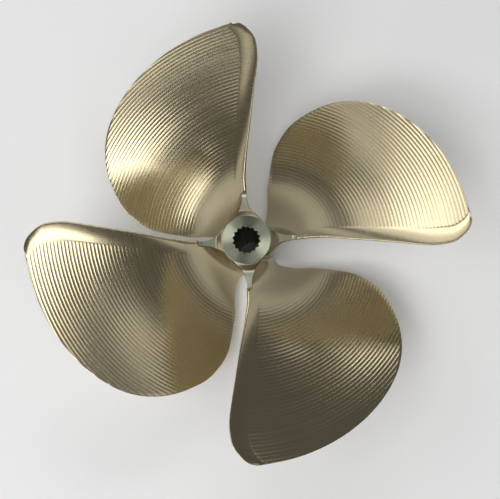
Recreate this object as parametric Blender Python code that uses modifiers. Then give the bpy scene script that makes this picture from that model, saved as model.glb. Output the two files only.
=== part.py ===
"""Four-blade left-hand boat propeller, milled all over from one bronze casting.

Metres, +Z is aft along the shaft. The forward hub face stands on z = 0 and the
shaft's axis is the Z axis. Hub, blades, fillets and bore are one solid.
"""

import math

import bmesh
import bpy
import numpy as np

# Driving dimensions of the wheel
TIP_RADIUS = 0.219
PITCH = 0.4775
BLADE_COUNT = 4
BLADE_PHASE = math.radians(26.0)

# Hub barrel and its bore
HUB_RADIUS = 0.0255
HUB_LENGTH = 0.104
RIM_CHAMFER = 0.0008
SPLINE_TEETH = 16
SPLINE_MAJOR_RADIUS = 0.0143
SPLINE_MINOR_RADIUS = 0.0122
TOOTH_POWER = 1.2
TOOTH_PARTS = (0.0, 0.22, 0.36, 0.5, 0.64, 0.78)

# Rake of the blade's reference line: its height against the aft hub face at the
# root station, then its slope and the loss of slope outwards, per tip radius
ROOT_STATION = 0.20
ROOT_DROP = 0.1152
RAKE_SLOPE = 0.359
RAKE_EASE = 0.181

# Blade outline seen from aft: share of the tip radius, angle in degrees from the
# blade's reference line, positive towards the leading edge
LEADING_EDGE = (
    (1.00, -13.4), (0.97, 17.1), (0.92, 31.6), (0.85, 40.8), (0.75, 49.1),
    (0.65, 55.4), (0.50, 59.4), (0.35, 58.0), (0.25, 52.6), (0.11, 43.0),
)
TRAILING_EDGE = (
    (1.00, -14.6), (0.96, -19.0), (0.90, -21.5), (0.80, -22.5), (0.65, -21.7),
    (0.50, -20.3), (0.35, -17.4), (0.27, -15.6), (0.23, -15.7), (0.20, -16.4), (0.18, -17.4),
    (0.16, -19.2), (0.145, -21.0), (0.13, -25.0), (0.11, -31.0),
)

# Thickness normal to the blade's pressure face
MID_THICKNESS_AT_AXIS = 0.0140
MID_THICKNESS_AT_TIP = 0.0026
LEADING_THICKNESS = 0.0020
TRAILING_THICKNESS = (
    (0.10, 0.0020), (0.20, 0.0026), (0.25, 0.0036), (0.30, 0.0034), (0.45, 0.0024), (1.00, 0.0018),
)

# Cup: the trailing edge curls aft within a band of this width, and not at the root
CUP_RISE = 0.0025
CUP_START, CUP_FULL = 0.22, 0.36
CUP_BAND = ((0.30, 0.0090), (0.60, 0.0138), (0.85, 0.0167), (1.00, 0.0120))

# Fillets that swell the blade root into the hub, each a round quarter: its reach at the
# leading edge and at the trailing edge, its height per reach, and the power of the chord's
# share that leads from one reach to the other. The last one widens the leading edge.
FACE_FILLET = (0.0130, 0.0280, 0.92, 2.0)
BACK_FILLET = (0.0080, 0.0132, 1.05, 3.0)
EDGE_FILLET = (0.0245, 0.0245, 0.20, 1.0)
FILLET_LIMIT = 0.98

# Flats turned on the aft ends of the blade roots: outside them an arc up to a wall,
# inside them an arc and a cone up to the barrel
FLAT_DROP = 0.0060
FLAT_OUTER_RADIUS = 0.0450
RUNOUT_ARC = 0.0065
COVE_OUTER_RADIUS = 0.0335
COVE_ARC = 0.0050
COVE_SLOPE = math.radians(40.0)

# Fineness of the mesh
ROOT_INSIDE = 0.019
ROOT_ROWS = 16
OUTER_ROWS = 19
TIP_CROWDING = 1.7
CHORD_STEPS = 13
HUB_STEPS = 64
ARC_STEPS = 5
CUTTER_MARGIN = 0.010
CUTTER_RISE = 0.060

BRONZE_COLOUR = (0.47, 0.41, 0.27, 1.0)
BRONZE_ROUGHNESS = 0.30


def smooth_curve(stations, at):
    """Monotone cubic through (x, y) stations, read at the values in at."""
    points = sorted(stations)
    xs = np.array([x for x, _ in points])
    ys = np.array([y for _, y in points])
    steps = np.diff(xs)
    secants = np.diff(ys) / steps
    slopes = np.empty_like(ys)
    slopes[0] = secants[0]
    slopes[-1] = secants[-1]
    for i in range(1, len(xs) - 1):
        before, after = secants[i - 1], secants[i]
        if before * after <= 0.0:
            slopes[i] = 0.0
        else:
            slopes[i] = 2.0 * before * after / (before + after)
    at = np.clip(np.asarray(at, dtype=float), xs[0], xs[-1])
    cell = np.clip(np.searchsorted(xs, at, side="right") - 1, 0, len(steps) - 1)
    u = (at - xs[cell]) / steps[cell]
    start = ys[cell] * (1 + 2 * u) * (1 - u) ** 2 + slopes[cell] * steps[cell] * u * (1 - u) ** 2
    end = ys[cell + 1] * u ** 2 * (3 - 2 * u) - slopes[cell + 1] * steps[cell] * u ** 2 * (1 - u)
    return start + end


def edge_angle(stations, share):
    """Outline angle in radians; near the tip it turns like a root of the distance left."""
    turned = [(math.sqrt(1.0 - at), angle) for at, angle in stations]
    return math.radians(float(smooth_curve(turned, math.sqrt(max(0.0, 1.0 - share)))))


def reference_height(share):
    """Height of the blade's reference line at a share of the tip radius."""
    out = share - ROOT_STATION
    return HUB_LENGTH + TIP_RADIUS * (RAKE_SLOPE * out - RAKE_EASE * out ** 2 - ROOT_DROP)


def section_thickness(share, along):
    """Thickness at a share of the chord, 0 at the leading edge and 1 at the trailing edge."""
    mid = MID_THICKNESS_AT_AXIS + (MID_THICKNESS_AT_TIP - MID_THICKNESS_AT_AXIS) * share
    trailing = float(smooth_curve(TRAILING_THICKNESS, share))
    edges = LEADING_THICKNESS + (trailing - LEADING_THICKNESS) * along
    return edges + max(0.0, mid - edges) * 4.0 * along * (1.0 - along)


def root_swell(fillet, radius, along):
    """Stand-off of a root fillet at a radius: a quarter round, upright at the barrel."""
    reach_leading, reach_trailing, tallness, lateness = fillet
    reach = reach_leading + (reach_trailing - reach_leading) * along ** lateness
    left = min(max((HUB_RADIUS + reach - radius) / reach, 0.0), FILLET_LIMIT)
    return tallness * reach * (1.0 - math.sqrt(1.0 - left ** 2))


def cup_height(radius, from_edge):
    """Rise of the cup at a distance in from the trailing edge; it fades out towards the root."""
    share = radius / TIP_RADIUS
    band = float(smooth_curve(CUP_BAND, share))
    left = min(max(1.0 - from_edge / band, 0.0), 1.0)
    begun = min(max((share - CUP_START) / (CUP_FULL - CUP_START), 0.0), 1.0)
    return CUP_RISE * left ** 2 * begun ** 2 * (3.0 - 2.0 * begun)


def blade_point(radius, along, back):
    """A point of one blade's pressure face, or of its back."""
    share = radius / TIP_RADIUS
    lead = PITCH / (2.0 * math.pi)
    slant = math.atan2(lead, radius)
    leading = edge_angle(LEADING_EDGE, share)
    leading += root_swell(EDGE_FILLET, radius, 0.0) * math.cos(slant) / radius
    trailing = edge_angle(TRAILING_EDGE, share)
    angle = leading + (trailing - leading) * along
    height = reference_height(share) - lead * angle + cup_height(radius, (angle - trailing) * radius)

    # Unit normal of the pressure face in radial, turning and axial parts
    rake = RAKE_SLOPE - 2.0 * RAKE_EASE * (share - ROOT_STATION)
    normal = np.array((-rake, lead / radius, 1.0))
    normal /= np.linalg.norm(normal)
    if back:
        thickness = section_thickness(share, along)
        offset = -root_swell(BACK_FILLET, radius, along) - thickness
        radial = radius - normal[0] * thickness
    else:
        offset = root_swell(FACE_FILLET, radius, along)
        radial = radius

    # The stand-off turns the point about the shaft, so that it keeps its radius
    turn = angle + BLADE_PHASE + normal[1] * offset / radius
    return radial * math.cos(turn), radial * math.sin(turn), height + normal[2] * offset


def blade_radii():
    """Radii of the section rows: two in the hub, then crowding on the barrel and on the tip."""
    reach = FACE_FILLET[1]
    steepest = math.asin(FILLET_LIMIT)
    turns = [steepest * (1.0 - i / ROOT_ROWS) for i in range(ROOT_ROWS)]
    root = [HUB_RADIUS + reach * (1.0 - math.sin(turn)) for turn in turns]
    left = [(1.0 - i / OUTER_ROWS) ** TIP_CROWDING for i in range(OUTER_ROWS + 1)]
    outer = [TIP_RADIUS - (TIP_RADIUS - HUB_RADIUS - reach) * part for part in left]
    return [ROOT_INSIDE, HUB_RADIUS - RIM_CHAMFER] + root + outer


def new_object(name, mesh, collection):
    """Put a mesh in the scene as a named object."""
    obj = bpy.data.objects.new(name, mesh)
    collection.objects.link(obj)
    return obj


def as_cutter(obj):
    """Show a helper as wire only, and keep it out of renders."""
    obj.hide_render = True
    obj.display_type = "WIRE"
    return obj


def join_or_cut(obj, other, operation):
    """Add an exact Boolean modifier."""
    boolean = obj.modifiers.new(operation.title() + " " + other.name, "BOOLEAN")
    boolean.operation = operation
    boolean.solver = "EXACT"
    boolean.object = other


def make_blade(collection):
    """One blade as a closed loft: rings of section points from root to tip."""
    alongs = [0.5 - 0.5 * math.cos(math.pi * j / CHORD_STEPS) for j in range(CHORD_STEPS + 1)]
    shape = bmesh.new()
    rings = []
    for radius in blade_radii():
        face = [shape.verts.new(blade_point(radius, along, False)) for along in alongs]
        back = [shape.verts.new(blade_point(radius, along, True)) for along in reversed(alongs)]
        rings.append(face + back)
    for inner, outer in zip(rings, rings[1:]):
        for j in range(len(inner)):
            k = (j + 1) % len(inner)
            shape.faces.new((inner[j], inner[k], outer[k], outer[j]))
    for ring in (rings[0], rings[-1]):
        for j in range(CHORD_STEPS):
            mirror = len(ring) - 1 - j
            shape.faces.new((ring[j], ring[j + 1], ring[mirror - 1], ring[mirror]))
    bmesh.ops.recalc_face_normals(shape, faces=shape.faces)
    mesh = bpy.data.meshes.new("blade")
    shape.to_mesh(mesh)
    shape.free()
    return new_object("blade", mesh, collection)


def make_turned(name, profile, collection):
    """Turn a profile of (radius, height) points, given top to bottom, about the Z axis."""
    mesh = bpy.data.meshes.new(name)
    corners = [(radius, 0.0, height) for radius, height in profile]
    edges = [(i, i + 1) for i in range(len(corners) - 1)]
    mesh.from_pydata(corners, edges, [])
    obj = new_object(name, mesh, collection)
    screw = obj.modifiers.new("Turn", "SCREW")
    screw.axis = "Z"
    screw.steps = HUB_STEPS
    screw.render_steps = HUB_STEPS
    screw.use_merge_vertices = True
    screw.merge_threshold = 0.00001
    screw.use_normal_calculate = True
    return obj


def make_hub(collection, name):
    """Plain barrel with both rims chamfered; the bore is cut later."""
    profile = (
        (0.0, HUB_LENGTH),
        (HUB_RADIUS - RIM_CHAMFER, HUB_LENGTH),
        (HUB_RADIUS, HUB_LENGTH - RIM_CHAMFER),
        (HUB_RADIUS, RIM_CHAMFER),
        (HUB_RADIUS - RIM_CHAMFER, 0.0),
        (0.0, 0.0),
    )
    return make_turned(name, profile, collection)


def make_root_cutter(collection):
    """Turned cutter that leaves the cove, the aft flats and the wall outside them."""
    flat = HUB_LENGTH - FLAT_DROP
    top = HUB_LENGTH + CUTTER_RISE
    profile = [(0.0, top), (FLAT_OUTER_RADIUS + RUNOUT_ARC, top)]
    for i in range(ARC_STEPS + 1):
        turn = math.pi / 2.0 * (1.0 - i / ARC_STEPS)
        profile.append((
            FLAT_OUTER_RADIUS + RUNOUT_ARC * math.sin(turn),
            flat + RUNOUT_ARC * (1.0 - math.cos(turn)),
        ))
    for i in range(ARC_STEPS + 1):
        turn = COVE_SLOPE * i / ARC_STEPS
        profile.append((
            COVE_OUTER_RADIUS - COVE_ARC * math.sin(turn),
            flat + COVE_ARC * (1.0 - math.cos(turn)),
        ))
    cone_radius, cone_height = profile[-1]
    brim = cone_height + (cone_radius - HUB_RADIUS) * math.tan(COVE_SLOPE)
    profile += [(HUB_RADIUS, brim), (0.0, brim)]
    return as_cutter(make_turned("root cutter", profile, collection))


def make_spline_cutter(collection):
    """Bore cutter: sixteen grooves with sharp bottoms between round-topped teeth."""
    middle = 0.5 * (SPLINE_MAJOR_RADIUS + SPLINE_MINOR_RADIUS)
    depth = SPLINE_MAJOR_RADIUS - SPLINE_MINOR_RADIUS
    tooth = 2.0 * math.pi / SPLINE_TEETH
    outline = []
    for i in range(SPLINE_TEETH):
        for part in TOOTH_PARTS:
            radius = middle + depth * (abs(1.0 - 2.0 * part) ** TOOTH_POWER - 0.5)
            outline.append((radius * math.cos((i + part) * tooth), radius * math.sin((i + part) * tooth)))
    shape = bmesh.new()
    low = [shape.verts.new((x, y, -CUTTER_MARGIN)) for x, y in outline]
    base = shape.faces.new(low)
    grown = bmesh.ops.extrude_face_region(shape, geom=[base])
    lifted = [item for item in grown["geom"] if isinstance(item, bmesh.types.BMVert)]
    bmesh.ops.translate(shape, verts=lifted, vec=(0.0, 0.0, HUB_LENGTH + 2.0 * CUTTER_MARGIN))
    bmesh.ops.recalc_face_normals(shape, faces=shape.faces)
    mesh = bpy.data.meshes.new("spline cutter")
    shape.to_mesh(mesh)
    shape.free()
    return as_cutter(new_object("spline cutter", mesh, collection))


def make_bronze():
    """Satin bronze."""
    bronze = bpy.data.materials.new("bronze")
    bronze.use_nodes = True
    shader = bronze.node_tree.nodes["Principled BSDF"]
    shader.inputs["Base Color"].default_value = BRONZE_COLOUR
    shader.inputs["Metallic"].default_value = 1.0
    shader.inputs["Roughness"].default_value = BRONZE_ROUGHNESS
    bronze.diffuse_color = BRONZE_COLOUR
    return bronze


def new_collection(name):
    """A collection linked to the scene."""
    collection = bpy.data.collections.new(name)
    bpy.context.scene.collection.children.link(collection)
    return collection


def main():
    """Build the propeller."""
    for obj in list(bpy.data.objects):
        bpy.data.objects.remove(obj, do_unlink=True)
    parts = new_collection("propeller")
    cutters = new_collection("cutters")

    root_cutter = make_root_cutter(cutters)
    spline_cutter = make_spline_cutter(cutters)
    blade = as_cutter(make_blade(cutters))
    join_or_cut(blade, root_cutter, "DIFFERENCE")

    propeller = make_hub(parts, "propeller")
    for i in range(BLADE_COUNT):
        turned = blade if i == 0 else blade.copy()
        if i:
            cutters.objects.link(turned)
        turned.name = "blade " + str(i + 1)
        turned.rotation_euler[2] = 2.0 * math.pi * i / BLADE_COUNT
        join_or_cut(propeller, turned, "UNION")
    join_or_cut(propeller, spline_cutter, "DIFFERENCE")
    propeller.data.materials.append(make_bronze())


main()
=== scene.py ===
# %% [markdown]
# # A milled bronze propeller
#
# A boat's wheel like this one is cut from a single casting. A lathe turns the hub, and a
# milling machine then passes a ball-nosed cutter over every blade along circles about the
# shaft, which leaves the fine concentric grooves that give the metal its look.
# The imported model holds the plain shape. This lesson lays the milled skin over it.

# %% Load the fixed frame
import math

import bpy
import numpy as np
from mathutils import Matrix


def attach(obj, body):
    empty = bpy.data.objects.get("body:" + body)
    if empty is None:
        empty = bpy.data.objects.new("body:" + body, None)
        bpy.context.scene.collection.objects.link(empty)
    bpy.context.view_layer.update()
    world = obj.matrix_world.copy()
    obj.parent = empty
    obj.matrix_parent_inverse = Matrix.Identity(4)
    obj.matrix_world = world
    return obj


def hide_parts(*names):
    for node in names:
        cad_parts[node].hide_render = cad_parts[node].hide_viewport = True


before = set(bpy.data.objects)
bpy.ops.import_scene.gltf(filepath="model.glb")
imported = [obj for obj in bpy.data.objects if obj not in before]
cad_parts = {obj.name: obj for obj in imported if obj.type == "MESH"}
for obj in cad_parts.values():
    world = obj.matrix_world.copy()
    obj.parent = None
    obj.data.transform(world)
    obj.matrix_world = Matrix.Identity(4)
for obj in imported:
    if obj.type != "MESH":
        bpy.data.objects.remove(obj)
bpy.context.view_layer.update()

# %% [markdown]
# ## The wheel's sizes
#
# A propeller is drawn by radius. At each share of the tip radius a table gives the angle
# of the leading edge and of the trailing edge, seen along the shaft. A few more numbers
# give the pitch, the rake and the thickness. They are the sizes the solid was made with,
# in metres, so the skin falls where the solid is. A fillet's four numbers are its reach at
# the leading and at the trailing edge, its height for each unit of reach, and the power of
# the chord's share that leads from one reach to the other.

# %% Sizes
TIP_RADIUS = 0.219
PITCH = 0.4775
BLADE_COUNT = 4
BLADE_PHASE = math.radians(26.0)
HUB_RADIUS = 0.0255
HUB_LENGTH = 0.104

ROOT_STATION = 0.20
ROOT_DROP = 0.1152
RAKE_SLOPE = 0.359
RAKE_EASE = 0.181

LEADING_EDGE = (
    (1.00, -13.4), (0.97, 17.1), (0.92, 31.6), (0.85, 40.8), (0.75, 49.1),
    (0.65, 55.4), (0.50, 59.4), (0.35, 58.0), (0.25, 52.6), (0.11, 43.0),
)
TRAILING_EDGE = (
    (1.00, -14.6), (0.96, -19.0), (0.90, -21.5), (0.80, -22.5), (0.65, -21.7),
    (0.50, -20.3), (0.35, -17.4), (0.27, -15.6), (0.23, -15.7), (0.20, -16.4), (0.18, -17.4),
    (0.16, -19.2), (0.145, -21.0), (0.13, -25.0), (0.11, -31.0),
)

MID_THICKNESS_AT_AXIS = 0.0140
MID_THICKNESS_AT_TIP = 0.0026
LEADING_THICKNESS = 0.0020
TRAILING_THICKNESS = (
    (0.10, 0.0020), (0.20, 0.0026), (0.25, 0.0036), (0.30, 0.0034), (0.45, 0.0024), (1.00, 0.0018),
)

CUP_RISE = 0.0025
CUP_START, CUP_FULL = 0.22, 0.36
CUP_BAND = ((0.30, 0.0090), (0.60, 0.0138), (0.85, 0.0167), (1.00, 0.0120))

FACE_FILLET = (0.0130, 0.0280, 0.92, 2.0)
BACK_FILLET = (0.0080, 0.0132, 1.05, 3.0)
EDGE_FILLET = (0.0245, 0.0245, 0.20, 1.0)
FILLET_LIMIT = 0.98

# %% [markdown]
# ## Reading a table smoothly
#
# Straight lines between the stations of a table would leave corners in the outline.
# A cubic through the stations is smooth. Its slope at a station is the harmonic mean of
# the chords on either side, so it never swings past the stations, as a batten bent round
# pins would. The outline turns quickly at the tip, so it is read against the square root
# of the distance left to the tip.

# %% Smooth tables
def smooth_curve(stations, at):
    """Cubic through the stations, read at some places.

    With u from 0 to 1 across a cell of width h, it is the sum of
    y0 (1 + 2u) (1 - u)^2 + m0 h u (1 - u)^2 and y1 u^2 (3 - 2u) - m1 h u^2 (1 - u).
    The slopes m are the harmonic mean of the two chords, or zero at a peak.
    """
    xs, ys = np.array(sorted(stations)).T
    steps = np.diff(xs)
    chords = np.diff(ys) / steps
    before, after = chords[:-1], chords[1:]
    same_way = before * after > 0.0
    total = np.where(same_way, before + after, 1.0)
    inner = np.where(same_way, 2.0 * before * after / total, 0.0)
    slopes = np.concatenate((chords[:1], inner, chords[-1:]))
    at = np.clip(at, xs[0], xs[-1])
    cell = np.clip(np.searchsorted(xs, at, side="right") - 1, 0, len(steps) - 1)
    u = (at - xs[cell]) / steps[cell]
    start = ys[cell] * (1 + 2 * u) * (1 - u) ** 2 + slopes[cell] * steps[cell] * u * (1 - u) ** 2
    end = ys[cell + 1] * u ** 2 * (3 - 2 * u) - slopes[cell + 1] * steps[cell] * u ** 2 * (1 - u)
    return start + end


def edge_angle(stations, share):
    """Angle of an edge in radians: the table read against the square root of one minus the share."""
    turned = [(math.sqrt(1.0 - at), angle) for at, angle in stations]
    left = np.sqrt(np.maximum(0.0, 1.0 - share))
    return np.radians(smooth_curve(turned, left))


for share in (0.3, 0.6, 0.9):
    chord = edge_angle(LEADING_EDGE, share) - edge_angle(TRAILING_EDGE, share)
    print("at", share, "of the tip radius the blade spans", round(math.degrees(float(chord)), 1), "degrees")

# %% [markdown]
# ## One point of a blade
#
# The pressure face is a screw surface: as a point turns towards the trailing edge it
# climbs along the shaft in step. The trailing edge curls aft in a cup, which fades out
# towards the root. The skin stands off that surface along its normal: it swells into the
# hub at the root, and the back lies one thickness below the face. The stand-off is laid
# out as a turn about the shaft, so a point keeps its radius however thick the fillet is.
# Working in arrays, one call gives every point of a blade.

# %% Blade surface
LEAD = PITCH / (2.0 * math.pi)
TIP_ROUND = 0.0010
TIP_ROUND_LIMIT = 0.95


def root_swell(fillet, radius, along):
    """Stand-off of a root fillet: tallness * reach * (1 - sqrt(1 - left^2)).

    Here left is the share of the reach still to go, so the fillet stands upright at the hub.
    """
    reach_leading, reach_trailing, tallness, lateness = fillet
    reach = reach_leading + (reach_trailing - reach_leading) * along ** lateness
    left = np.clip((HUB_RADIUS + reach - radius) / reach, 0.0, FILLET_LIMIT)
    return tallness * reach * (1.0 - np.sqrt(1.0 - left ** 2))


def blade_edges(radius):
    """Leading and trailing angle at a radius; a fillet pushes the leading edge out near the hub."""
    share = radius / TIP_RADIUS
    slant = np.arctan2(LEAD, radius)
    push = root_swell(EDGE_FILLET, radius, 0.0) * np.cos(slant) / radius
    return edge_angle(LEADING_EDGE, share) + push, edge_angle(TRAILING_EDGE, share)


def blade_point(radius, along, through, proud):
    """Point at a share of the chord (0 leading, 1 trailing), from the face (through 0) to the back (1).

    Height = reference line - lead * angle + cup. The offset along the face's unit normal is
    the fillet plus proud on the face, minus (fillet + thickness + proud) on the back, and a
    straight blend of the two in between. Its axial part raises the point and its turning
    part turns the point about the shaft. Only the thickness has a radial part.
    """
    share = radius / TIP_RADIUS
    out = share - ROOT_STATION
    leading, trailing = blade_edges(radius)
    angle = leading + (trailing - leading) * along
    height = HUB_LENGTH + TIP_RADIUS * (RAKE_SLOPE * out - RAKE_EASE * out ** 2 - ROOT_DROP) - LEAD * angle
    band = smooth_curve(CUP_BAND, share)
    left = np.clip(1.0 - (angle - trailing) * radius / band, 0.0, 1.0)
    begun = np.clip((share - CUP_START) / (CUP_FULL - CUP_START), 0.0, 1.0)
    height = height + CUP_RISE * left ** 2 * begun ** 2 * (3.0 - 2.0 * begun)

    middle = MID_THICKNESS_AT_AXIS + (MID_THICKNESS_AT_TIP - MID_THICKNESS_AT_AXIS) * share
    edge = LEADING_THICKNESS + (smooth_curve(TRAILING_THICKNESS, share) - LEADING_THICKNESS) * along
    thickness = edge + np.maximum(0.0, middle - edge) * 4.0 * along * (1.0 - along)
    near_tip = np.clip((radius - TIP_RADIUS + TIP_ROUND) / TIP_ROUND, 0.0, TIP_ROUND_LIMIT)
    through = 0.5 + (through - 0.5) * np.sqrt(1.0 - near_tip ** 2)

    normal_out = -(RAKE_SLOPE - 2.0 * RAKE_EASE * out)
    normal_turn = LEAD / radius
    length = np.sqrt(normal_out ** 2 + normal_turn ** 2 + 1.0)
    above = root_swell(FACE_FILLET, radius, along)
    below = root_swell(BACK_FILLET, radius, along) + thickness
    offset = (above + proud) * (1.0 - through) - (below + proud) * through
    radial = radius - normal_out / length * (thickness * through)
    turn = angle + BLADE_PHASE + normal_turn / length * offset / radius
    return np.stack((radial * np.cos(turn), radial * np.sin(turn), height + offset / length), axis=-1)


# %% [markdown]
# ## The cut round the hub
#
# After the blades are milled, a turned cut clears the aft ends of the blade roots, so
# that the nut's washer can seat: a cone and a small cove round the barrel, a flat, and an
# arc that ends at a wall. Beyond the wall the trailing edge keeps its full height. The cut
# is a surface of revolution, so its height depends on the radius alone. On each row of the
# blade the skin stops where it would pass through that height.

# %% Turned cut
FLAT_DROP = 0.0060
COVE_OUTER_RADIUS = 0.0335
COVE_ARC = 0.0050
COVE_SLOPE = math.radians(40.0)
FLAT_OUTER_RADIUS = 0.0450
RUNOUT_ARC = 0.0065
WALL_RISE = 0.0500
CHORD_SAMPLES = 401


def cut_height(radius):
    """Height of the cut over a radius.

    A flat in the middle. Inside it an arc, arc - sqrt(arc^2 - d^2) at a distance d, and then
    a cone of even slope. Outside it another arc, and a wall higher than any blade.
    """
    inside = np.clip(COVE_OUTER_RADIUS - radius, 0.0, COVE_OUTER_RADIUS - HUB_RADIUS)
    in_arc = np.minimum(inside, COVE_ARC * math.sin(COVE_SLOPE))
    cove = COVE_ARC - np.sqrt(COVE_ARC ** 2 - in_arc ** 2) + (inside - in_arc) * math.tan(COVE_SLOPE)
    outside = np.clip(radius - FLAT_OUTER_RADIUS, 0.0, RUNOUT_ARC)
    runout = RUNOUT_ARC - np.sqrt(RUNOUT_ARC ** 2 - outside ** 2)
    wall = np.where(radius > FLAT_OUTER_RADIUS + RUNOUT_ARC, WALL_RISE, 0.0)
    return HUB_LENGTH - FLAT_DROP + cove + runout + wall


def share_at_cut(radius, through):
    """Share of the chord where a skin rises through the cut, or 1 where it stays below it."""
    along = np.linspace(0.0, 1.0, CHORD_SAMPLES)
    points = blade_point(radius[:, None], along[None, :], through, 0.0)
    over = points[..., 2] - cut_height(np.hypot(points[..., 0], points[..., 1]))
    first = np.maximum(np.argmax(over > 0.0, axis=1), 1)
    rows = np.arange(len(radius))
    low, high = over[rows, first - 1], over[rows, first]
    crossed = (over > 0.0).any(axis=1)
    part = -low / np.where(crossed, high - low, 1.0)
    return np.where(crossed, along[first - 1] + along[1] * part, 1.0)


# %% [markdown]
# ## Milled grooves
#
# A ball-nosed cutter leaves a shallow round-bottomed channel, and the next pass leaves a
# sharp cusp between the two. Across the grooves the skin is therefore a row of parabolas.
# Along the trailing edge another pass, flat and smooth, makes the cupped band. Its cutter
# lifts out on a curve, and the lower of the two surfaces is what is left: that minimum
# gives each groove its rounded end at the band without drawing it.

# %% Groove heights
GROOVE_START = 0.0644
GROOVE_WIDTH = 0.0035
CUSP_HEIGHT = 0.00014
BAND_SINK = 0.00005
BAND_CUTTER_RADIUS = 0.012


def groove_height(radius, inside):
    """Lower of two surfaces, less a third of a cusp so that the mean height stays.

    The grooves are cusp * (2 f - 1)^2, with f the part of a groove. The band's curve is
    -sink + d^2 / 2R, with d the distance from the band towards the leading edge.
    """
    part = np.mod((radius - GROOVE_START) / GROOVE_WIDTH, 1.0)
    cusps = CUSP_HEIGHT * (2.0 * part - 1.0) ** 2
    band_curve = -BAND_SINK + np.maximum(inside, 0.0) ** 2 / (2.0 * BAND_CUTTER_RADIUS)
    milled = np.minimum(cusps, band_curve) - CUSP_HEIGHT / 3.0
    return np.where(radius < GROOVE_START, 0.0, milled)


# %% [markdown]
# ## The grid of a blade
#
# Each row of the grid is one radius and runs once round the section: over the face from
# the leading edge, across the trailing edge, back along the other side and round the
# leading nose. Rows are spaced ten to a groove, so that every cusp falls on a row. The
# columns crowd where the band ends, within set shares of the chord. Near the hub the
# trailing edge is cut away, and its columns then lie on the cut instead of on a rounded
# edge.

# %% Rows and columns
ROWS_PER_GROOVE = 10
ROOT_INSIDE = 0.0235
ROOT_ROW_STEP = 0.0005
TIP_ROWS = 8
TIP_CROWDING = 1.6
FACE_COLUMNS = (26, 14, 10)
EDGE_COLUMNS = 14
BACK_COLUMNS = 34
NOSE_COLUMNS = 7
BAND_MARGIN_INSIDE = 0.0060
BAND_MARGIN_OUTSIDE = 0.0010
BAND_SHARES = (0.30, 0.90, 0.96)
LEAST_BAND_WIDTH = 0.02
NOSE_LIMIT = 0.30
TAIL_LIMIT = 0.03


def blade_rows():
    """Even steps through the root, ten rows to a groove outside it, and a few rows crowding on the tip."""
    root_count = int(round((GROOVE_START - ROOT_INSIDE) / ROOT_ROW_STEP))
    root = np.linspace(ROOT_INSIDE, GROOVE_START, root_count, endpoint=False)
    step = GROOVE_WIDTH / ROWS_PER_GROOVE
    outer = np.arange(GROOVE_START, TIP_RADIUS - TIP_ROUND, step)
    left = np.linspace(1.0, 0.0, TIP_ROWS + 1)[1:]
    last = TIP_RADIUS - (TIP_RADIUS - outer[-1]) * left ** TIP_CROWDING
    return np.concatenate((root, outer, last))


def face_shares(radius, ends):
    """Shares of the chord for the face's columns: even to the band, crowded over its edge, even to the end.

    Also the shares that the round of the leading edge and of the trailing edge take up.
    """
    leading, trailing = blade_edges(radius)
    chord = (leading - trailing) * radius
    band = smooth_curve(CUP_BAND, radius / TIP_RADIUS)
    inner = np.clip(1.0 - (band + BAND_MARGIN_INSIDE) / chord, BAND_SHARES[0], BAND_SHARES[1])
    outer = np.clip(1.0 - (band - BAND_MARGIN_OUTSIDE) / chord, inner + LEAST_BAND_WIDTH, BAND_SHARES[2])
    nose = np.minimum(NOSE_LIMIT, 0.5 * LEADING_THICKNESS / chord)
    trailing_thickness = smooth_curve(TRAILING_THICKNESS, radius / TIP_RADIUS)
    tail = 1.0 - np.minimum(TAIL_LIMIT, 0.5 * trailing_thickness / chord)
    parts = [
        nose[:, None] + (inner - nose)[:, None] * np.linspace(0, 1, FACE_COLUMNS[0], endpoint=False),
        inner[:, None] + (outer - inner)[:, None] * np.linspace(0, 1, FACE_COLUMNS[1], endpoint=False),
        outer[:, None] + (tail - outer)[:, None] * np.linspace(0, 1, FACE_COLUMNS[2]),
    ]
    return np.concatenate(parts, axis=1) * ends[:, None], nose, tail


radii = blade_rows()
face_ends = share_at_cut(radii, 0.0)
back_ends = share_at_cut(radii, 1.0)
print(len(radii), "rows; the cut reaches out to", round(float(radii[face_ends < 1.0].max()) * 1000, 1), "mm")


# %% [markdown]
# ## The skin of one blade
#
# The four strips of columns are worked out apart and set side by side. The trailing
# strip follows a bent line of three points: where the face stops, where the cut leaves
# the end wall, and where the back stops. A half-ellipse stands in for it where there is
# no cut. The leading strip is a half-ellipse all the way.

# %% Blade skin
EDGE_BLUNTNESS = 0.7
NOSE_BLUNTNESS = 0.8
CUT_BLEND = 0.25


def bent_line(points, fractions):
    """Points at even fractions of the length of the bent line through three points, for every row at once."""
    first, middle, last = points
    reach_one = np.linalg.norm(middle - first, axis=-1)[:, None]
    reach_two = np.linalg.norm(last - middle, axis=-1)[:, None]
    gone = fractions[None, :] * (reach_one + reach_two)
    on_one = np.clip(gone / np.maximum(reach_one, 1e-9), 0.0, 1.0)[..., None]
    on_two = np.clip((gone - reach_one) / np.maximum(reach_two, 1e-9), 0.0, 1.0)[..., None]
    bent = first[:, None] + (middle - first)[:, None] * on_one + (last - middle)[:, None] * on_two
    return bent, gone < reach_one


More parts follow.
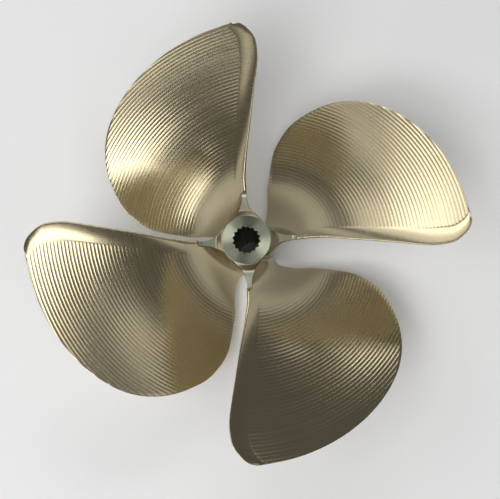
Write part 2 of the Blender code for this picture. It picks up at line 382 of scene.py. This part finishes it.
def trailing_strip(face_stop, back_stop, tail):
    """Points between the face and the back at the trailing edge, and a mask of those on the turned cut.

    The edge's outline runs from tail to 1 as sin(pi f)^bluntness, with f from 0 to 1.
    """
    fractions = np.linspace(0.0, 1.0, EDGE_COLUMNS + 2)[1:-1]
    bulge = np.sin(math.pi * fractions[None, :]) ** EDGE_BLUNTNESS
    through = 0.5 - 0.5 * np.cos(math.pi * fractions[None, :])
    rounded = blade_point(radii[:, None], tail[:, None] + (1.0 - tail)[:, None] * bulge, through, 0.0)

    wall_top = blade_point(radii, np.ones_like(radii), 0.0, 0.0)
    wall_foot = blade_point(radii, np.ones_like(radii), 1.0, 0.0)
    level = cut_height(np.hypot(wall_top[:, 0], wall_top[:, 1]))
    down = np.clip((wall_top[:, 2] - level) / (wall_top[:, 2] - wall_foot[:, 2]), 0.0, 1.0)
    middle = wall_top + (wall_foot - wall_top) * down[:, None]
    middle = np.where((back_ends < 1.0)[:, None], back_stop, middle)
    bent, on_cut = bent_line((face_stop, middle, back_stop), fractions)
    on_cut &= (face_ends < 1.0)[:, None]
    reach = np.minimum(np.hypot(bent[..., 0], bent[..., 1]), FLAT_OUTER_RADIUS + RUNOUT_ARC)
    bent[..., 2] = np.where(on_cut, cut_height(reach), bent[..., 2])

    share_cut = np.clip(down / CUT_BLEND, 0.0, 1.0)
    share_cut = np.where(back_ends < 1.0, 1.0, share_cut)[:, None, None]
    return rounded + (bent - rounded) * share_cut, on_cut


def leading_strip(nose):
    """Points from the back round to the face at the leading edge: share nose * (1 - sin(pi f)^bluntness)."""
    fractions = np.linspace(0.0, 1.0, NOSE_COLUMNS + 2)[None, 1:-1]
    shares = nose[:, None] * (1.0 - np.sin(math.pi * fractions) ** NOSE_BLUNTNESS)
    return blade_point(radii[:, None], shares, 0.5 + 0.5 * np.cos(math.pi * fractions), 0.0)


def blade_skin():
    """Grid of one blade's points, rows by columns, and a mask of the points that lie on the turned cut."""
    row = radii[:, None]
    leading, trailing = blade_edges(radii)
    chord = (leading - trailing) * radii
    band = smooth_curve(CUP_BAND, radii / TIP_RADIUS)

    shares, nose, tail = face_shares(radii, face_ends)
    inside = (1.0 - shares) * chord[:, None] - band[:, None]
    face = blade_point(row, shares, 0.0, groove_height(row, inside))

    along = np.linspace(0.0, 1.0, BACK_COLUMNS)[None, :]
    shares = nose[:, None] + (tail * back_ends - nose)[:, None] * (1.0 - along)
    back = blade_point(row, shares, 1.0, groove_height(row, np.full_like(shares, 1.0)))

    strip, on_cut = trailing_strip(face[:, -1], back[:, 0], tail)
    grid = np.concatenate((face, strip, back, leading_strip(nose)), axis=1)
    cut = np.zeros(grid.shape[:2], bool)
    cut[:, face.shape[1]:face.shape[1] + EDGE_COLUMNS] = on_cut
    return grid, cut


blade_grid, blade_cut = blade_skin()
print("one blade has", blade_grid.shape[0], "rows of", blade_grid.shape[1], "points")

# %% [markdown]
# ## From grid to mesh
#
# A grid becomes a mesh by joining each point to its neighbours in the next column and
# the next row. The section is closed, so the last column joins the first. The first and
# last rows are filled straight across the section, which leaves no hole in the skin.
# Edges wider than a set angle stay sharp, and all others are shaded smooth.

# %% Grid to mesh
def fill_ring(ring):
    """Quads across a closed ring, from two neighbours to the two opposite; a triangle for an odd point."""
    last = len(ring) - 1
    corners = [(j, j + 1, last - j - 1, last - j) for j in range(last // 2)]
    return [list(dict.fromkeys(ring[k] for k in face)) for face in corners]


def grid_mesh(name, grid, close_rows, sharp_angle):
    """Mesh of a grid whose columns close on themselves; its rows close too, or both end rings are filled."""
    rows, columns = grid.shape[:2]
    index = np.arange(rows * columns).reshape(rows, columns)
    along = np.roll(index, -1, axis=1)
    if close_rows:
        nearer, further = index, np.roll(index, -1, axis=0)
        nearer_next, further_next = along, np.roll(along, -1, axis=0)
    else:
        nearer, further = index[:-1], index[1:]
        nearer_next, further_next = along[:-1], along[1:]
    quads = np.stack((nearer, nearer_next, further_next, further), axis=-1).reshape(-1, 4)
    faces = quads.tolist()
    if not close_rows:
        faces += fill_ring(index[0][::-1].tolist()) + fill_ring(index[-1].tolist())
    mesh = bpy.data.meshes.new(name)
    mesh.from_pydata(grid.reshape(-1, 3).tolist(), [], faces)
    mesh.polygons.foreach_set("use_smooth", np.ones(len(faces), bool))
    mesh.set_sharp_from_angle(angle=math.radians(sharp_angle))
    mesh.update()
    return mesh


def place_piece(name, mesh, materials):
    """Put a mesh in the scene, riding on the part's one body, with the part's one node hidden in its place.
    """
    piece = bpy.data.objects.new(name, mesh)
    bpy.context.scene.collection.objects.link(piece)
    for material in materials:
        mesh.materials.append(material)
    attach(piece, "root")
    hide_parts("propeller")
    return piece


# %% [markdown]
# ## Milled bronze
#
# Nickel-aluminium bronze straight from the mill is a warm grey gold. It is all metal, so
# its colour is the colour of its reflections. The grooves are real relief. What the
# material adds is what is too small to model: feed marks along each pass, a slightly
# different gloss from ring to ring, and faint clouds in the tone of the metal. All of
# them follow the circles that the cutter ran on, so their noise is read at the distance
# from the shaft. A noise has three numbers: its waves for each metre across the circles,
# its waves for each metre along them, and its detail.

# %% Milled bronze
MILLED_DARK = (0.42, 0.36, 0.235, 1.0)
MILLED_PALE = (0.52, 0.455, 0.30, 1.0)
MILLED_ROUGHNESS = (0.20, 0.26)
MILLED_CLOUDS = (25.0, 18.0, 4.0)
MILLED_PASSES = (500.0, 6.0, 2.0)
PASSES_LOW, PASSES_HIGH = 0.3, 0.7
FEED_MARKS = (2500.0, 60.0, 3.0)
FEED_MARK_DEPTH = 0.00008
FEED_MARK_STRENGTH = 0.05


def new_material(name):
    """A material, its node tree and its shader, with no other node but the output."""
    material = bpy.data.materials.new(name)
    material.use_nodes = True
    return material, material.node_tree, material.node_tree.nodes["Principled BSDF"]


def feed(tree, socket, value):
    """Link a socket to another node's socket, or set it to a constant."""
    if isinstance(value, bpy.types.NodeSocket):
        tree.links.new(value, socket)
    else:
        socket.default_value = value


def add_node(tree, kind, *values, **named):
    """A node with its sockets fed by number and by name."""
    node = tree.nodes.new(kind)
    for key, value in list(enumerate(values)) + list(named.items()):
        feed(tree, node.inputs[key], value)
    return node


def multiply(tree, first, second):
    """Socket with the product of two sockets or numbers."""
    product = add_node(tree, "ShaderNodeMath", first, second)
    product.operation = "MULTIPLY"
    return product.outputs[0]


def place_about_shaft(tree):
    """Sockets with a point's distance from the shaft, its x and its y."""
    place = tree.nodes.new("ShaderNodeTexCoord").outputs["Object"]
    split = add_node(tree, "ShaderNodeSeparateXYZ", place)
    flat = add_node(tree, "ShaderNodeCombineXYZ", split.outputs["X"], split.outputs["Y"])
    distance = add_node(tree, "ShaderNodeVectorMath", flat.outputs[0])
    distance.operation = "LENGTH"
    return distance.outputs["Value"], split.outputs["X"], split.outputs["Y"]


def ring_noise(tree, across, along, detail):
    """Noise in circles about the shaft, read at (distance * across, x * along, y * along)."""
    distance, x, y = place_about_shaft(tree)
    stretched = (multiply(tree, distance, across), multiply(tree, x, along), multiply(tree, y, along))
    place = add_node(tree, "ShaderNodeCombineXYZ", *stretched).outputs[0]
    return add_node(tree, "ShaderNodeTexNoise", Vector=place, Scale=1.0, Detail=detail).outputs["Fac"]


def map_range(tree, value, start, end, low, high):
    """Socket that goes evenly from low to high while the value goes from start to end."""
    node = add_node(tree, "ShaderNodeMapRange", value, start, end, low, high)
    return node.outputs[0]


def blend_colours(tree, amount, low, high):
    """Colour that goes from low to high while the amount goes from 0 to 1."""
    mix = tree.nodes.new("ShaderNodeMix")
    mix.data_type = "RGBA"
    for key, value in (("Factor", amount), ("A", low), ("B", high)):
        feed(tree, mix.inputs[key], value)
    return mix.outputs["Result"]


def make_milled_bronze():
    """Bronze with feed marks, gloss that changes from ring to ring, and faint clouds of tone."""
    material, tree, shader = new_material("milled_bronze")
    shader.inputs["Metallic"].default_value = 1.0
    tone = blend_colours(tree, ring_noise(tree, *MILLED_CLOUDS), MILLED_DARK, MILLED_PALE)
    feed(tree, shader.inputs["Base Color"], tone)
    passes = ring_noise(tree, *MILLED_PASSES)
    roughness = map_range(tree, passes, PASSES_LOW, PASSES_HIGH, *MILLED_ROUGHNESS)
    feed(tree, shader.inputs["Roughness"], roughness)
    marks = ring_noise(tree, *FEED_MARKS)
    relief = {"Height": marks, "Strength": FEED_MARK_STRENGTH, "Distance": FEED_MARK_DEPTH}
    feed(tree, shader.inputs["Normal"], add_node(tree, "ShaderNodeBump", **relief).outputs[0])
    return material


milled_bronze = make_milled_bronze()
print("milled bronze has", len(milled_bronze.node_tree.nodes), "nodes")

# %% [markdown]
# ## Turned bronze
#
# The hub's faces and the cut round it come from the lathe. Their marks are far finer, and
# they run in true circles, so the metal throws light in fans, as the face of a disc does.
# The anisotropy of the shader does this, with a tangent that runs round the shaft. The
# metal's colour holds painted reflections: the grey green on the face and the flats is painted
# for the cool light from above that they mirror, and the tan in the cove between them is
# painted for the bronze blades that the cove mirrors.

# %% Turned bronze
# painted reflection: bronze tinted grey green for the cool light from above that the face and flats mirror
TURNED_DARK_PAINTED_REFLECTION = (0.40, 0.42, 0.31, 1.0)
TURNED_PALE_PAINTED_REFLECTION = (0.50, 0.52, 0.39, 1.0)
# painted reflection: the cove's tan stands for the bronze blades that it mirrors
COVE_TAN_PAINTED_REFLECTION = (0.40, 0.33, 0.21, 1.0)
COVE_REFLECTION_BLEND = 0.0006
TURNED_ROUGHNESS = (0.34, 0.46)
TURNED_CLOUDS = (300.0, 40.0, 3.0)
TURNED_RINGS = (3000.0, 0.0, 1.0)


def smooth_step(tree, value, start, end):
    """Socket that goes smoothly from 0 at start to 1 at end."""
    step = add_node(tree, "ShaderNodeMapRange", value, start, end)
    step.interpolation_type = "SMOOTHSTEP"
    return step.outputs[0]


def make_turned_bronze_painted_reflection():
    """Paler, finer finish with painted reflections in its colour: strong anisotropy round the shaft with
    rings of slightly different gloss.
    """
    material, tree, shader = new_material("turned_bronze_painted_reflection")
    shader.inputs["Metallic"].default_value = 1.0
    shader.inputs["Anisotropic"].default_value = 1.0
    tangent = tree.nodes.new("ShaderNodeTangent")
    tangent.direction_type = "RADIAL"
    tangent.axis = "Z"
    feed(tree, shader.inputs["Tangent"], tangent.outputs[0])

    # painted reflection: grey green mixed into the bronze for the cool light mirrored from above
    bronze_with_painted_reflection = blend_colours(tree, ring_noise(tree, *TURNED_CLOUDS), TURNED_DARK_PAINTED_REFLECTION, TURNED_PALE_PAINTED_REFLECTION)
    distance = place_about_shaft(tree)[0]
    past_barrel = smooth_step(tree, distance, HUB_RADIUS, HUB_RADIUS + COVE_REFLECTION_BLEND)
    before_flat = smooth_step(tree, distance, COVE_OUTER_RADIUS, COVE_OUTER_RADIUS - 2.0 * COVE_REFLECTION_BLEND)
    # the tan blended into the cove between barrel and flat is a painted reflection of the blades
    tone = blend_colours(tree, multiply(tree, past_barrel, before_flat), bronze_with_painted_reflection, COVE_TAN_PAINTED_REFLECTION)
    feed(tree, shader.inputs["Base Color"], tone)
    rings = ring_noise(tree, *TURNED_RINGS)
    feed(tree, shader.inputs["Roughness"], map_range(tree, rings, 0.0, 1.0, *TURNED_ROUGHNESS))
    return material


turned_bronze_painted_reflection = make_turned_bronze_painted_reflection()
print("turned bronze has", len(turned_bronze_painted_reflection.node_tree.nodes), "nodes")

# %% [markdown]
# ## Four blades
#
# The blades are one shape turned by quarter turns about the shaft. The turn goes into the
# points, and every object stays at the origin. Faces whose four corners lie on the turned
# cut take the lathe's finish.

# %% Blades
BLADE_SHARP_ANGLE = 42.0


def turn_about_shaft(points, angle):
    """Points turned about the Z axis: x cos - y sin, x sin + y cos."""
    x, y, z = np.moveaxis(points, -1, 0)
    cosine, sine = math.cos(angle), math.sin(angle)
    return np.stack((x * cosine - y * sine, x * sine + y * cosine, z), axis=-1)


def cut_faces(cut):
    """One value for each quad of the grid: 1 where all its corners lie on the cut."""
    along = np.roll(cut, -1, axis=1)
    whole = cut[:-1] & cut[1:] & along[:-1] & along[1:]
    return whole.reshape(-1).astype(np.int32)


for number in range(BLADE_COUNT):
    grid = turn_about_shaft(blade_grid, 2.0 * math.pi * number / BLADE_COUNT)
    mesh = grid_mesh("blade_" + str(number + 1), grid, False, BLADE_SHARP_ANGLE)
    blade = place_piece(mesh.name, mesh, (milled_bronze, turned_bronze_painted_reflection))
    finish = np.zeros(len(mesh.polygons), np.int32)
    on_cut = cut_faces(blade_cut)
    finish[:len(on_cut)] = on_cut
    mesh.polygons.foreach_set("material_index", finish)
    print(blade.name, len(mesh.polygons), "faces,", int(on_cut.sum()), "of them turned")

# %% [markdown]
# ## The hub
#
# The barrel is turned, and its bore is broached with a spline of sixteen teeth. Its skin
# is one closed sheet: a profile carried round the shaft, from the bore's forward rim out
# over the face, up the barrel, in over the aft face and down the bore. Each row blends
# between a circle and the tooth outline, so that the faces meet both exactly.

# %% Hub
RIM_CHAMFER = 0.0008
SPLINE_TEETH = 16
SPLINE_MAJOR_RADIUS = 0.0143
SPLINE_MINOR_RADIUS = 0.0122
TOOTH_POWER = 1.2
BORE_CHAMFER = 0.0005
COLUMNS_PER_TOOTH = 12
HUB_FACE_ROWS = 9
BARREL_ROWS = 14
BORE_ROWS = 12
HUB_SHARP_ANGLE = 25.0


def spline_radius(angle):
    """Radius of the bore: middle + depth * (|1 - 2 part|^power - 1/2), with part the share of a tooth."""
    part = np.mod(angle * SPLINE_TEETH / (2.0 * math.pi), 1.0)
    middle = 0.5 * (SPLINE_MAJOR_RADIUS + SPLINE_MINOR_RADIUS)
    depth = SPLINE_MAJOR_RADIUS - SPLINE_MINOR_RADIUS
    return middle + depth * (np.abs(1.0 - 2.0 * part) ** TOOTH_POWER - 0.5)


def hub_profile():
    """Rows of (share of the way from the bore's outline to a circle, the circle's radius, height)."""
    face = np.linspace(0.0, 1.0, HUB_FACE_ROWS)
    barrel = np.linspace(RIM_CHAMFER, HUB_LENGTH - RIM_CHAMFER, BARREL_ROWS)
    bore = np.linspace(HUB_LENGTH - BORE_CHAMFER, BORE_CHAMFER, BORE_ROWS)
    rim = HUB_RADIUS - RIM_CHAMFER
    rows = [(0.0, rim, BORE_CHAMFER)]
    rows += [(s, rim, 0.0) for s in face]
    rows += [(1.0, HUB_RADIUS, z) for z in barrel]
    rows += [(s, rim, HUB_LENGTH) for s in face[::-1]]
    rows += [(0.0, rim, z) for z in bore[:-1]]
    return np.array(rows)


def hub_skin():
    """Grid of the hub: radius = bore + (circle - bore) * share in each row.

    On the two faces the bore's outline is wider by its chamfer.
    """
    profile = hub_profile()
    count = SPLINE_TEETH * COLUMNS_PER_TOOTH
    angle = 2.0 * math.pi * np.arange(count)[None, :] / count
    outline = spline_radius(angle)
    on_face = (np.abs(profile[:, 2]) < 1e-9) | (np.abs(profile[:, 2] - HUB_LENGTH) < 1e-9)
    outline = outline + np.where(on_face, BORE_CHAMFER, 0.0)[:, None]
    radius = outline + (profile[:, 1:2] - outline) * profile[:, 0:1]
    height = np.broadcast_to(profile[:, 2:3], radius.shape)
    return np.stack((radius * np.cos(angle), radius * np.sin(angle), height), axis=-1)


hub_mesh = grid_mesh("hub", hub_skin(), True, HUB_SHARP_ANGLE)
place_piece("hub", hub_mesh, (turned_bronze_painted_reflection,))
print("hub has", len(hub_mesh.polygons), "faces")

# %% [markdown]
# ## Floor
#
# The floor is a plain pale sheet under the forward face, far wider than the photograph
# shows, so that the blades mirror no edge of it close by.

# %% Floor
FLOOR_REACH = 6.0
FLOOR_TONE = 0.95
FLOOR_ROUGHNESS = 0.8

floor_signs = [(-1, -1), (1, -1), (1, 1), (-1, 1)]
floor_corners = [(x * FLOOR_REACH, y * FLOOR_REACH, 0.0) for x, y in floor_signs]
floor_mesh = bpy.data.meshes.new("floor")
floor_mesh.from_pydata(floor_corners, [], [(0, 1, 2, 3)])
floor = bpy.data.objects.new("floor", floor_mesh)
bpy.context.scene.collection.objects.link(floor)
floor_material, floor_tree, floor_shader = new_material("pale_floor")
floor_shader.inputs["Base Color"].default_value = (FLOOR_TONE, FLOOR_TONE, FLOOR_TONE, 1.0)
floor_shader.inputs["Roughness"].default_value = FLOOR_ROUGHNESS
floor_mesh.materials.append(floor_material)
print("floor", 2.0 * FLOOR_REACH, "m across")

# %% [markdown]
# ## Light
#
# Bare metal shows what is around it, so the light is a set of soft panels and a weak even
# sky. Each panel makes one field of light on the blades. The brightest stand on the near
# side and to its left, a bright one stands behind, and the right side is weak. The gaps
# between the panels leave the dark fields.
#
# A panel's row gives its azimuth and elevation in degrees, its width in metres and its
# brightness.

# %% Lights
PANEL_DISTANCE = 3.0
PANEL_HEIGHT = 0.8
SKY_STRENGTH = 0.13
PANELS = (
    ("panel_overhead", 300.0, 76.0, 2.0, 2.0),
    ("panel_left_high", 220.0, 62.0, 2.5, 3.0),
    ("panel_key", 250.0, 47.0, 2.2, 4.4),
    ("panel_left_low", 236.0, 14.0, 1.8, 5.0),
    ("panel_behind", 90.0, 34.0, 1.9, 3.2),
    ("panel_behind_left", 142.0, 34.0, 3.9, 0.8),
    ("panel_behind_low", 90.0, 18.0, 4.3, 1.2),
    ("panel_right", 330.0, 45.0, 1.2, 0.9),
)


def add_panel(name, azimuth, elevation, width, brightness):
    """An area light facing the hub; its power is brightness * pi * area, so brightness is its radiance."""
    panel = bpy.data.lights.new(name, "AREA")
    panel.shape = "RECTANGLE"
    panel.size = width
    panel.size_y = PANEL_HEIGHT
    panel.energy = brightness * math.pi * width * PANEL_HEIGHT
    lamp = bpy.data.objects.new(name, panel)
    bpy.context.scene.collection.objects.link(lamp)
    around, up = math.radians(azimuth), math.radians(elevation)
    lamp.location = (
        PANEL_DISTANCE * math.cos(around) * math.cos(up),
        PANEL_DISTANCE * math.sin(around) * math.cos(up),
        HUB_LENGTH + PANEL_DISTANCE * math.sin(up),
    )
    lamp.rotation_euler = (math.pi / 2.0 - up, 0.0, around + math.pi / 2.0)


for panel_row in PANELS:
    add_panel(*panel_row)

world = bpy.data.worlds.new("studio")
world.use_nodes = True
world.node_tree.nodes["Background"].inputs["Color"].default_value = (1.0, 1.0, 1.0, 1.0)
world.node_tree.nodes["Background"].inputs["Strength"].default_value = SKY_STRENGTH
bpy.context.scene.world = world
print(len(PANELS), "panels")

# %% [markdown]
# ## Camera
#
# The camera looks down the shaft from 0.86 m up and a little to one side, as the
# photograph does. Its place, its turn in degrees and its lens were fitted to the hub's
# circle, the outline of the blades and the directions of the grooves in the photograph.

# %% Camera
CAMERA_PLACE = (0.06366, -0.11564, 0.85588)
CAMERA_TURN = (8.4503, 3.6404, 7.7692)
CAMERA_LENS = 53.98
CAMERA_SHIFT = (0.0080, 0.0019)
CAMERA_CLIP = 0.05
SENSOR_WIDTH = 36.0

camera_data = bpy.data.cameras.new("camera")
camera_data.lens = CAMERA_LENS
camera_data.sensor_width = SENSOR_WIDTH
camera_data.sensor_fit = "HORIZONTAL"
camera_data.shift_x, camera_data.shift_y = CAMERA_SHIFT
camera_data.clip_start = CAMERA_CLIP
camera = bpy.data.objects.new("camera", camera_data)
camera.location = CAMERA_PLACE
camera.rotation_euler = [math.radians(turn) for turn in CAMERA_TURN]
bpy.context.scene.collection.objects.link(camera)
bpy.context.scene.camera = camera
bpy.context.scene.view_settings.view_transform = "Standard"
print("camera", round(math.dist(CAMERA_PLACE, (0.0, 0.0, HUB_LENGTH)), 3), "m from the aft hub face")
